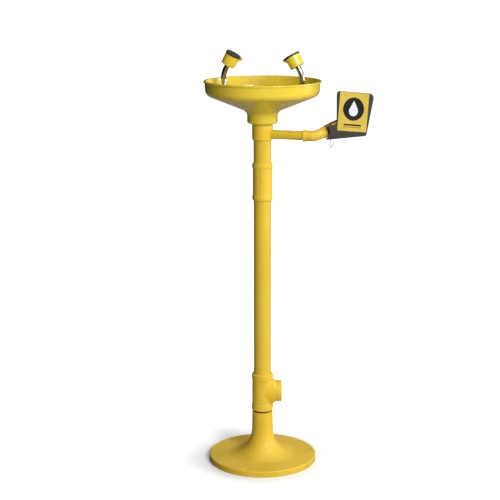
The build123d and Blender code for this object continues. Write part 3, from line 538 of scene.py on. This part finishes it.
def buildWasteTee(look):
    low, high = (corner.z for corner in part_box("waste_tee"))
    body, band, bore, thread = (look[key] for key in ("bodyRadius", "bandRadius", "boreRadius", "threadRadius"))
    height, depth, reach = look["bandHeight"], look["threadDepth"], look["branchReach"]
    bandStart = reach - look["branchBand"]
    branch = placing(Vector((0, 0, (low + high) / 2)), mounts["waste_outlet"]["axis"])
    solid = turnedPiece("wasteTee", "waste_tee", [
        (0, low, 0), (band, low, 1 * mm), (band, low + height, 0.8 * mm), (body, low + height + 1 * mm, 1 * mm),
        (body, high - height - 1 * mm, 1 * mm), (band, high - height, 0.8 * mm), (band, high, 3.2 * mm), (0, high, 0),
    ])
    web, oval = body + look["web"], Matrix.Diagonal(((body + look["web"]) / body, 1, 1, 1))
    flare = turnedPiece("flare", "waste_tee", [
        (0, 0, 0), (web, 0, 0), (web, bandStart - look["web"] * 1.5, 0), (body, bandStart - 1 * mm, 9 * mm),
        (body, bandStart, 0), (0, bandStart, 0),
    ], place=branch, roundSteps=10)
    combine(flare, turnedPiece("oval", "waste_tee", [
        (0, -mm, 0), (body, -mm, 0), (body, reach, 0), (0, reach, 0),
    ], place=branch @ oval), "INTERSECT")
    combine(solid, flare, "UNION")
    combine(solid, turnedPiece("limb", "waste_tee", [
        (0, 0, 0), (body - 0.1 * mm, 0, 0), (body - 0.1 * mm, bandStart - 1 * mm, 0.5 * mm),
        (band, bandStart, 0.5 * mm), (band, reach, 1 * mm), (0, reach, 0),
    ], place=branch), "UNION")
    passage = turnedPiece("passage", "waste_tee", [
        (0, low - mm, 0), (thread, low - mm, 0), (thread, low + depth, 0), (bore, low + depth + 3 * mm, 0),
        (bore, high - depth - 3 * mm, 0), (thread, high - depth, 0), (thread, high + mm, 0), (0, high + mm, 0),
    ])
    combine(solid, passage, "DIFFERENCE")
    combine(solid, turnedPiece("mouth", "waste_tee", [
        (0, 0, 0), (bore, 0, 0), (bore, reach - depth - 3 * mm, 0), (thread, reach - depth, 0),
        (thread, reach - 1.5 * mm, 0), (thread + 1.5 * mm, reach + 0.1 * mm, 0), (0, reach + 0.1 * mm, 0),
    ], place=branch), "DIFFERENCE")
    skin = solid.modifiers.new("skin", "REMESH")
    skin.mode = "VOXEL"
    skin.voxel_size = look["voxel"]
    soften = solid.modifiers.new("soften", "SMOOTH")
    soften.factor = 0.5
    soften.iterations = look["softening"]
    settle(solid, 80)
    standFor(solid, "waste_tee")
    bm = bmesh.new()
    addThread(bm, {"crest": thread - 0.75 * mm, "root": thread + 0.1 * mm, "pitch": 2.2 * mm,
                   "low": reach - depth + 1 * mm, "high": reach - 1.2 * mm}, branch, inward=True)
    outletThread = makePiece(bm, "outletThread", "base_nipple")
    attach(outletThread, "station")


buildWasteTee(teeLook)
print("base, nipple and tee modelled")


# coupling with a bead at each end and two cast ribs
couplingLook = {
    "bodyRadius": 23.2 * mm, "beadRadius": 24.5 * mm, "beadHeight": 12 * mm, "mouthRadius": 21.8 * mm,
    "boreRadius": 21.3 * mm, "shoulder": 3.5 * mm, "ribWidth": 4 * mm, "ribProud": 0.7 * mm, "ribTurn": -77,
}


def buildCoupling(look):
    low, high = (corner.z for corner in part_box("column_coupling"))
    body, bead, mouth, bore = (look[key] for key in ("bodyRadius", "beadRadius", "mouthRadius", "boreRadius"))
    height, shoulder = look["beadHeight"], look["shoulder"]
    piece = turnedPiece("columnCoupling", "column_coupling", [
        (bore, low, 0), (mouth, low, 0.2 * mm), (bead, low + shoulder, 1.6 * mm), (bead, low + height, 0.9 * mm),
        (body, low + height + 1.4 * mm, 1.2 * mm), (body, high - height - 1.4 * mm, 1.2 * mm),
        (bead, high - height, 0.9 * mm), (bead, high - shoulder, 1.6 * mm), (mouth, high, 0.2 * mm), (bore, high, 0),
    ])
    bm = bmesh.new()
    half, length = look["ribWidth"] / 2, high - low - 2 * height
    for turn in (look["ribTurn"], look["ribTurn"] + 180):
        place = Matrix.Rotation(math.radians(turn), 4, "Z") @ Matrix.Translation((0, 0, low + height))
        face = body + look["ribProud"]
        addFlat(bm, [(body - 1.2 * mm, -half, 0), (face, -half, 0.5 * mm), (face, half, 0.5 * mm),
                     (body - 1.2 * mm, half, 0)], length, place)
    combine(piece, makePiece(bm, "ribs", "column_coupling"), "UNION")
    standFor(piece, "column_coupling")


buildCoupling(couplingLook)

# the pipe's last turns of thread, painted over, where it enters the tee
tailLook = {"crest": 21.5 * mm, "root": 21.22 * mm, "pitch": 2.2 * mm, "height": 11 * mm}


def buildThreadTail(look):
    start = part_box("waste_tee")[1].z
    bm = bmesh.new()
    addThread(bm, {**look, "low": start - 0.5 * mm, "high": start + look["height"]}, Matrix())
    tail = makePiece(bm, "threadTail", "stem_pipe_lower")
    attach(tail, "station")


buildThreadTail(tailLook)

# bowl, one moulding from collar to rolled lip
bowlLook = {
    "collarRadius": 36 * mm, "collarRound": 5 * mm, "coneDegrees": 22.2, "flareRound": 16 * mm,
    "wallFoot": 134.5 * mm, "wallFootHeight": 907.49 * mm, "wallTop": 136.2 * mm, "cornerRound": 16 * mm,
    "wall": 3 * mm, "lipRadius": 139 * mm, "lipHeight": 3.6 * mm, "seatRadius": 32 * mm, "seatRise": 23.6 * mm,
    "throatRise": 29.4 * mm, "chamberRadius": 30 * mm, "floorRise": 8.6 * mm, "hole": 20.7 * mm,
}


def buildBowl(look):
    collar, rim = (corner.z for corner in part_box("bowl"))
    slope = math.tan(math.radians(look["coneDegrees"]))
    foot, footZ, wall = look["wallFoot"], look["wallFootHeight"], look["wall"]
    lipZ, soft = rim - look["lipHeight"], look["lipHeight"] / 4
    piece = turnedPiece("bowlMoulding", "bowl", [
        (look["hole"], collar, 0), (look["collarRadius"], collar, look["collarRound"]),
        (look["collarRadius"], footZ - (foot - look["collarRadius"]) * slope, look["flareRound"]),
        (foot, footZ, look["cornerRound"]), (look["wallTop"], lipZ, soft), (look["lipRadius"], lipZ, soft),
        (look["lipRadius"], rim, soft * 1.6), (look["wallTop"] - wall, rim, soft * 1.2),
        (foot - wall, footZ + wall / math.cos(math.radians(look["coneDegrees"])), look["cornerRound"] - wall),
        (look["seatRadius"], collar + look["throatRise"], 0.8 * mm),
        (look["seatRadius"], collar + look["seatRise"], 0),
        (look["chamberRadius"], collar + look["seatRise"], 0), (look["chamberRadius"], collar + look["floorRise"], 0),
        (look["hole"], collar + look["floorRise"], 0),
    ], steps=192, roundSteps=8)
    standFor(piece, "bowl")


buildBowl(bowlLook)

# nuts: bowl locknut, gooseneck nuts, packing nut
locknut = {"across": 50 * mm, "bore": 20.6 * mm, "low": 850.1 * mm, "high": 858.1 * mm}
standFor(hexPiece("bowlLocknut", "bowl_locknut", locknut, [Matrix()]), "bowl_locknut")
neckNut = {"across": 19 * mm, "bore": 6.36 * mm, "low": 22 * mm, "high": 31 * mm}
neckHeight = sum(corner.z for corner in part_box("yoke_nuts")) / 2
neckSides = [placing(Vector((0, 0, neckHeight)), (side, 0, 0)) for side in (1, -1)]
standFor(hexPiece("gooseneckNuts", "yoke_nuts", neckNut, neckSides), "yoke_nuts")

# supply elbow: a ring is grown in, spun round the bend and grown out again
elbowLook = {
    "reach": 101.5 * mm, "face": 28.5 * mm, "bendRadius": 26 * mm, "bend": 45, "steps": 64,
    "profile": [(6.0, 10.2), (0.6, 10.75), (0.0, 11.3), (0.0, 12.9), (0.5, 13.4), (7.2, 13.5), (8.0, 13.2),
                (9.2, 12.4), (10.5, 12.3)],
}
flow = Vector(mounts["supply_inlet"]["axis"]).normalized()
armZ = sum(corner.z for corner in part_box("supply_nipple")) / 2


def growRing(bm, ring, centre, step, scale):
    grown = bmesh.ops.extrude_edge_only(bm, edges=ring)["geom"]
    verts = [item for item in grown if isinstance(item, bmesh.types.BMVert)]
    bmesh.ops.translate(bm, verts=verts, vec=step)
    bmesh.ops.scale(bm, verts=verts, vec=(scale,) * 3, space=Matrix.Translation(-(centre + step)))
    return [item for item in grown if isinstance(item, bmesh.types.BMEdge)], centre + step


def buildElbow(look):
    bm = bmesh.new()
    profile = [(distance * mm, radius * mm) for distance, radius in look["profile"]]
    turn = math.radians(look["bend"])
    straight = look["face"] - look["bendRadius"] * math.tan(turn / 2)
    centre = Vector((0, 0, profile[0][0]))
    ring = bmesh.ops.create_circle(bm, cap_ends=True, segments=look["steps"], radius=profile[0][1],
                                   matrix=Matrix.Translation(centre))["verts"]
    edges = list({edge for vert in ring for edge in vert.link_edges})
    for (here, size), (there, nextSize) in zip(profile, profile[1:] + [(straight, profile[-1][1])]):
        edges, centre = growRing(bm, edges, centre, Vector((0, 0, there - here)), nextSize / size)
    verts = list({vert for edge in edges for vert in edge.verts})
    swept = bmesh.ops.spin(bm, geom=verts + edges, cent=(look["bendRadius"], 0, straight), axis=(0, 1, 0),
                           angle=turn, steps=14)["geom_last"]
    edges = [item for item in swept if isinstance(item, bmesh.types.BMEdge)]
    away = Vector((math.sin(turn), 0, math.cos(turn)))
    corner = Vector((0, 0, look["face"]))
    centre = corner + away * (look["face"] - straight)
    mirrored = [(straight, profile[-1][1])] + profile[::-1]
    for (here, size), (there, nextSize) in zip(mirrored, mirrored[1:]):
        edges, centre = growRing(bm, edges, centre, away * (here - there), nextSize / size)
    bmesh.ops.holes_fill(bm, edges=edges, sides=0)
    bmesh.ops.remove_doubles(bm, verts=bm.verts, dist=1e-6)
    bmesh.ops.recalc_face_normals(bm, faces=bm.faces)
    place = placing(Vector((look["reach"], 0, armZ)), (1, 0, 0), flow)
    bmesh.ops.transform(bm, matrix=place, verts=bm.verts)
    standFor(makePiece(bm, "supplyElbow", "supply_elbow"), "supply_elbow")


buildElbow(elbowLook)
print("coupling, bowl, nuts and elbow modelled")

# ball valve, in its own frame: X along the flow, Z up the stem
stem = -Vector(joints["valve_turn"]["axis"]).normalized()
valveCentre = Vector(joints["valve_turn"]["pos_m"])
valvePlace = placing(valveCentre, stem, flow)
flowPlace = placing(valveCentre, flow, stem)
valveLook = {
    "across": 27 * mm, "port": 6.8 * mm, "thread": 10.2 * mm, "halfLength": 25 * mm, "hexLength": 11 * mm,
    "belly": 16 * mm, "boss": 9 * mm, "bossHeight": 19.5 * mm, "glandAcross": 14.9 * mm, "glandHeight": 4.5 * mm,
    "stem": 4.5 * mm, "shoulder": 12.4 * mm, "bossFoot": 8 * mm, "bossNeck": 15.5 * mm, "bossFlare": 2.5 * mm,
    "pitch": 1.8 * mm, "nippleBore": 7.9 * mm, "nippleRadius": 9.4 * mm, "nippleRoot": 9.5 * mm,
    "nippleCrest": 10.1 * mm, "nippleInside": 11 * mm, "nippleOutside": 13 * mm,
}


def buildValve(look):
    end, hexStart, thread = look["halfLength"], look["halfLength"] - look["hexLength"], look["thread"]
    inlet = {"across": look["across"], "bore": thread, "low": -end, "high": -hexStart}
    body = hexPiece("valveBody", "valve_body", inlet, [flowPlace])
    combine(body, turnedPiece("belly", "valve_body", [
        (look["port"], -hexStart - 2 * mm, 0), (look["shoulder"], -hexStart - 2 * mm, 0),
        (look["shoulder"], -hexStart + 1 * mm, 1 * mm),
        (look["belly"], -hexStart + 4 * mm, 3 * mm), (look["belly"], hexStart - 0.6 * mm, 0.8 * mm),
        (look["belly"] - 0.8 * mm, hexStart, 0), (look["port"], hexStart, 0),
    ], place=flowPlace), "UNION")
    combine(body, turnedPiece("boss", "valve_body", [
        (0, look["bossFoot"], 0), (look["boss"] + look["bossFlare"], look["bossFoot"], 0),
        (look["boss"], look["bossNeck"], 3 * mm),
        (look["boss"], look["bossHeight"], 0.8 * mm), (0, look["bossHeight"], 0),
    ], place=valvePlace), "UNION")
    standFor(body, "valve_body")
    outlet = {"across": look["across"], "bore": thread, "low": hexStart + 0.2 * mm, "high": end}
    retainer = hexPiece("valveEndPiece", "valve_end_piece", outlet, [flowPlace])
    standFor(retainer, "valve_end_piece")
    bm = bmesh.new()
    addThread(bm, {"crest": thread - 0.7 * mm, "root": thread + 0.05 * mm, "pitch": look["pitch"],
                   "low": hexStart + 1 * mm, "high": end - 0.8 * mm}, flowPlace, inward=True)
    addTurned(bm, [(look["port"], hexStart + 0.2 * mm, 0), (thread, hexStart + 0.2 * mm, 0),
                   (thread, hexStart + 1 * mm, 0), (look["port"], hexStart + 1 * mm, 0.3 * mm)], place=flowPlace)
    inletThread = makePiece(bm, "inletThread", "valve_end_piece")
    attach(inletThread, "station")
    gland = {"across": look["glandAcross"], "bore": look["stem"] + 0.05 * mm, "low": look["bossHeight"],
             "high": look["bossHeight"] + look["glandHeight"]}
    standFor(hexPiece("packingNut", "gland_nut", gland, [valvePlace]), "gland_nut")
    bm = bmesh.new()
    nippleStart, nippleEnd = -end - look["nippleOutside"], -end + look["nippleInside"]
    addTurned(bm, [(look["nippleBore"], nippleStart, 0.3 * mm), (look["nippleRadius"], nippleStart, 0.3 * mm),
                   (look["nippleRadius"], nippleEnd, 0.3 * mm), (look["nippleBore"], nippleEnd, 0.3 * mm)],
              place=flowPlace)
    addThread(bm, {"crest": look["nippleCrest"], "root": look["nippleRoot"], "pitch": look["pitch"],
                   "low": nippleStart, "high": nippleEnd}, flowPlace)
    standFor(makePiece(bm, "valveNipple", "valve_nipple"), "valve_nipple")


buildValve(valveLook)

# spray heads: cup, hinge ear and flip-top cover, made for the +X side and mirrored for the other
headLook = {
    "tilt": 30, "foot": (86.15 * mm, 0, 974.89 * mm), "footRadius": 17.2 * mm, "rimRadius": 17.9 * mm,
    "height": 26 * mm, "chamber": 15 * mm, "tube": 6.4 * mm, "boss": 8.35 * mm, "earWidth": 11 * mm,
    "slotWidth": 4.6 * mm, "coverRadius": 19 * mm, "coverLow": 26.3 * mm, "coverHigh": 30.5 * mm,
    "hinge": 21.8 * mm, "knuckle": 2.2 * mm, "tongueWidth": 4 * mm, "tongueRoot": 15.5 * mm,
    "floor": 4 * mm, "bossTop": 7 * mm, "earRoot": 16 * mm, "earFoot": 17 * mm, "earTop": 25 * mm,
    "webFoot": 17.3 * mm, "webHead": 21.4 * mm, "recess": 14.5 * mm, "recessDepth": 1.8 * mm,
    "groove": (14.6 * mm, 15.0 * mm, 15.8 * mm, 16.2 * mm), "grooveDepth": 0.35 * mm,
}


def buildHead(look, side):
    tilt = math.radians(look["tilt"])
    mirror = Matrix.Scale(-1, 4, (1, 0, 0)) if side == "left" else Matrix()
    place = placing(Vector(look["foot"]), (-math.sin(tilt), 0, math.cos(tilt)), (1, 0, 0))
    upHinge = place @ Matrix.Rotation(math.radians(90), 4, "X")  # flat outlines stand in local XZ
    height, chamber, tube, boss = (look[key] for key in ("height", "chamber", "tube", "boss"))
    bm = bmesh.new()
    addTurned(bm, [
        (tube, 0, 0.3 * mm), (look["footRadius"], 0, 1.4 * mm), (look["rimRadius"], height, 0.6 * mm),
        (chamber, height, 0.5 * mm), (chamber, look["floor"], 0.8 * mm), (boss, look["floor"], 0),
        (boss, look["bossTop"], 0.4 * mm), (tube, look["bossTop"], 0),
    ], place=place)
    hinge, knuckle, ear, slot = look["hinge"], look["knuckle"], look["earWidth"], look["slotWidth"]
    tip, axisZ = hinge + knuckle, (look["coverLow"] + look["coverHigh"]) / 2
    root, earTop = -look["earRoot"], look["earTop"]
    cheek = [(root, look["earFoot"], 0), (root, earTop, 0), (-hinge + knuckle, earTop, 0),
             (-hinge + knuckle, axisZ + knuckle, knuckle * 0.95), (-tip, axisZ + knuckle, knuckle * 0.95),
             (-tip, axisZ - knuckle * 1.2, knuckle)]
    for start in (-ear / 2, slot / 2):
        shift = Matrix.Translation((0, 0, start))
        addFlat(bm, cheek, (ear - slot) / 2, upHinge @ shift, 0.25 * mm)
    web = [(root, look["webFoot"], 0), (root, earTop, 0), (-hinge + knuckle + 0.3 * mm, earTop, 0.5 * mm),
           (-hinge + knuckle + 0.3 * mm, look["webHead"], 0.5 * mm)]
    addFlat(bm, web, slot + 0.4 * mm, upHinge @ Matrix.Translation((0, 0, -slot / 2 - 0.2 * mm)))
    cup = bm
    bm = bmesh.new()
    low, high, radius = look["coverLow"], look["coverHigh"], look["coverRadius"]
    recess, recessTop = look["recess"], low + look["recessDepth"]
    grooveFloor = high - look["grooveDepth"]
    inner, innerFloor, outerFloor, outer = look["groove"]
    addTurned(bm, [
        (0, recessTop, 0), (recess, recessTop, 0), (recess, low, 0.3 * mm), (radius, low, 0.4 * mm),
        (radius, high, 1 * mm), (outer, high, 0.2 * mm), (outerFloor, grooveFloor, 0.2 * mm),
        (innerFloor, grooveFloor, 0.2 * mm), (inner, high, 0.2 * mm), (0, high, 0),
    ], place=place)
    width, tongueRoot = look["tongueWidth"], -look["tongueRoot"]
    tongue = [(tongueRoot, low, 0), (-hinge, axisZ - knuckle, 0), (-tip, axisZ - knuckle, knuckle * 0.95),
              (-tip, axisZ + knuckle, knuckle * 0.95), (-hinge, axisZ + knuckle, 0), (tongueRoot, high, 0)]
    addFlat(bm, tongue, width, upHinge @ Matrix.Translation((0, 0, -width / 2)), 0.2 * mm)
    for shape, label, node in ((cup, "sprayCup", "head_body_"), (bm, "flipCover", "dust_cover_")):
        bmesh.ops.transform(shape, matrix=mirror, verts=shape.verts)
        if side == "left":
            bmesh.ops.reverse_faces(shape, faces=shape.faces)
        standFor(makePiece(shape, label + side.title(), node + side), node + side)


for side in ("left", "right"):
    buildHead(headLook, side)
print("valve and spray heads modelled")

# the paddle's sign: a plain dark disc with a water drop, and two rules below
paddleTurn = Matrix.Rotation(math.radians(-25.4), 4, "Z")
signLook = {
    "left": -8.9, "top": 83.8, "height": 30.2, "ink": 0.08,
    "disc": {"middle": (37.5, 38.0), "radius": 27.0, "steps": 64},
    "drop": {"middle": (37.5, 43.0), "radius": 11.5, "tip": 25.0, "tipRound": 0.6, "steps": 32},
    "rule": [(15.0, 73.4, 1.4), (60.0, 73.4, 1.4), (60.0, 77.2, 1.4), (15.0, 77.2, 1.4)],
    "thinRule": [(15.0, 80.0, 0.4), (60.0, 80.0, 0.4), (60.0, 81.0, 0.4), (15.0, 81.0, 0.4)],
}


def onSign(look, corners):
    return [((look["left"] + across) * mm, (look["top"] - down) * mm, rounding * mm)
            for across, down, rounding in corners]


def arcOutline(part, start, stop):
    across, down = part["middle"]
    turns = [start + (stop - start) * step / (part["steps"] - 1) for step in range(part["steps"])]
    return [(across + part["radius"] * math.sin(turn), down - part["radius"] * math.cos(turn), 0) for turn in turns]


def discOutline(disc):
    return arcOutline(disc, 0, 2 * math.pi * (1 - 1 / disc["steps"]))


def dropOutline(drop):
    across, down = drop["middle"]
    lean = math.acos(drop["radius"] / drop["tip"])  # where the straight sides meet the round
    return [(across, down - drop["tip"], drop["tipRound"])] + arcOutline(drop, lean, 2 * math.pi - lean)


def buildSign(look):
    inked = {"signPanel": (signBlack, [discOutline(look["disc"]), look["rule"], look["thinRule"]], 1),
             "signDrop": (signWhite, [dropOutline(look["drop"])], 2)}
    for name, (finish, outlines, layer) in inked.items():
        bm = bmesh.new()
        for count, outline in enumerate(outlines):
            thickness = (look["ink"] * layer + 0.004 * count) * mm
            place = valvePlace @ paddleTurn @ Matrix.Translation((0, 0, look["height"] * mm))
            addFlat(bm, onSign(look, outline), thickness, place)
        piece = makePiece(bm, name, "sign_plate", finish)
        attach(piece, "paddle")


buildSign(signLook)
print("sign drawn")


# floor, light and camera
floorLook = {
    "radius": 6.0, "deep": (0.90, 0.90, 0.90, 1), "light": (0.93, 0.93, 0.93, 1), "bounce": (0.30, 0.28, 0.25, 1),
    "glow": 0.08, "farGlow": 1.1, "glowFrom": 0.14, "glowTo": 0.42,
}
worldLook = {"dark": 0.01, "bright": 0.5, "strength": 1.0, "darkSide": (-0.92, -0.05, 0.1), "from": -0.75, "to": 0.15}
lights = {
    "keyLight": {"place": (2.5, -2.2, 2.5), "aim": (0, 0, 0.75), "size": 1.1, "watts": 94},
    "frontLight": {"place": (1.55, -3.0, 1.05), "aim": (0, 0, 0.9), "size": 1.2, "watts": 44, "glossy": False},
    "rimLight": {"place": (2.3, 1.1, 1.0), "aim": (0, 0, 0.7), "size": 1.0, "watts": 22},
    "topLight": {"place": (0.4, -0.5, 3.0), "aim": (0, 0, 0), "size": 1.6, "watts": 13},
    "backLight": {"place": (-1.1, 3.1, 1.5), "aim": (0, 0, 0.6), "size": 1.5, "watts": 44, "glossy": False},
}
cameraLook = {"place": (0.9874, -2.9566, 1.229), "tilt": 77.4, "roll": 0.12, "turn": 18.993,
              "lens": 95.18, "sensor": 36}


def buildFloor(look):
    bm = bmesh.new()
    bmesh.ops.create_circle(bm, cap_ends=True, segments=128, radius=look["radius"])
    mesh = bpy.data.meshes.new("floor")
    bm.to_mesh(mesh)
    bm.free()
    floor = bpy.data.objects.new("floor", mesh)
    bpy.context.scene.collection.objects.link(floor)
    material = bpy.data.materials.new("paleFloor")
    material.use_nodes = True
    tree = material.node_tree
    place = addNode(tree, "ShaderNodeTexCoord").outputs["Object"]
    tone = placeGroup(tree, unevenTone, {"Vector": place, "Scale": 1.5})
    shader = tree.nodes["Principled BSDF"]
    seen = addNode(tree, "ShaderNodeLightPath").outputs["Is Camera Ray"]
    pale = mixColour(tree, tone, look["deep"], look["light"])
    feed(tree, mixColour(tree, seen, look["bounce"], pale), shader.inputs["Base Color"])
    # painted light: the floor glows for the camera only, dimly at the base and brighter further out, so the floor
    # round the base stays darker than further away
    reach = addNode(tree, "ShaderNodeVectorMath", {0: place}, operation="LENGTH").outputs["Value"]
    glow = remap(tree, reach, look["glowFrom"], look["glowTo"], look["glow"], look["farGlow"])
    glow = maths(tree, "MULTIPLY", seen, glow)
    feed(tree, addNode(tree, "ShaderNodeCombineColor", {0: glow, 1: glow, 2: glow}).outputs[0],
         shader.inputs["Emission Color"])
    shader.inputs["Emission Strength"].default_value = 1.0
    shader.inputs["Roughness"].default_value = 0.85
    mesh.materials.append(material)


def buildWorld(look):
    world = bpy.data.worlds.new("studio")
    bpy.context.scene.world = world
    world.use_nodes = True
    tree = world.node_tree
    tree.nodes.clear()
    way = addNode(tree, "ShaderNodeTexCoord").outputs["Generated"]
    side = addNode(tree, "ShaderNodeVectorMath", {0: way, 1: Vector(look["darkSide"]).normalized()},
                   operation="DOT_PRODUCT").outputs["Value"]
    shade = remap(tree, side, look["from"], look["to"], look["bright"], look["dark"])
    seen = addNode(tree, "ShaderNodeLightPath").outputs["Is Camera Ray"]
    level = maths(tree, "ADD", maths(tree, "MULTIPLY", seen, maths(tree, "SUBTRACT", 1.12, shade)), shade)
    background = addNode(tree, "ShaderNodeBackground", {"Strength": look["strength"]})
    grey = addNode(tree, "ShaderNodeCombineColor", {0: level, 1: level, 2: level})
    feed(tree, grey.outputs[0], background.inputs["Color"])
    feed(tree, background.outputs[0], addNode(tree, "ShaderNodeOutputWorld").inputs["Surface"])


def buildLight(name, look):
    lamp = bpy.data.lights.new(name, "AREA")
    lamp.size = look["size"]
    lamp.energy = look["watts"]
    light = bpy.data.objects.new(name, lamp)
    light.location = look["place"]
    light.visible_glossy = look.get("glossy", True)  # soft fills leave no reflection
    light.rotation_euler = (Vector(look["aim"]) - Vector(look["place"])).to_track_quat("-Z", "Y").to_euler()
    bpy.context.scene.collection.objects.link(light)


def buildCamera(look):
    lens = bpy.data.cameras.new("camera")
    lens.lens = look["lens"]
    lens.sensor_width = look["sensor"]
    camera = bpy.data.objects.new("camera", lens)
    camera.location = look["place"]
    camera.rotation_euler = [math.radians(look[key]) for key in ("tilt", "roll", "turn")]
    bpy.context.scene.collection.objects.link(camera)
    bpy.context.scene.camera = camera


buildFloor(floorLook)
buildWorld(worldLook)
for name, look in lights.items():
    buildLight(name, look)
buildCamera(cameraLook)
bpy.context.scene.view_settings.view_transform = "Standard"
print("floor, light and camera set")
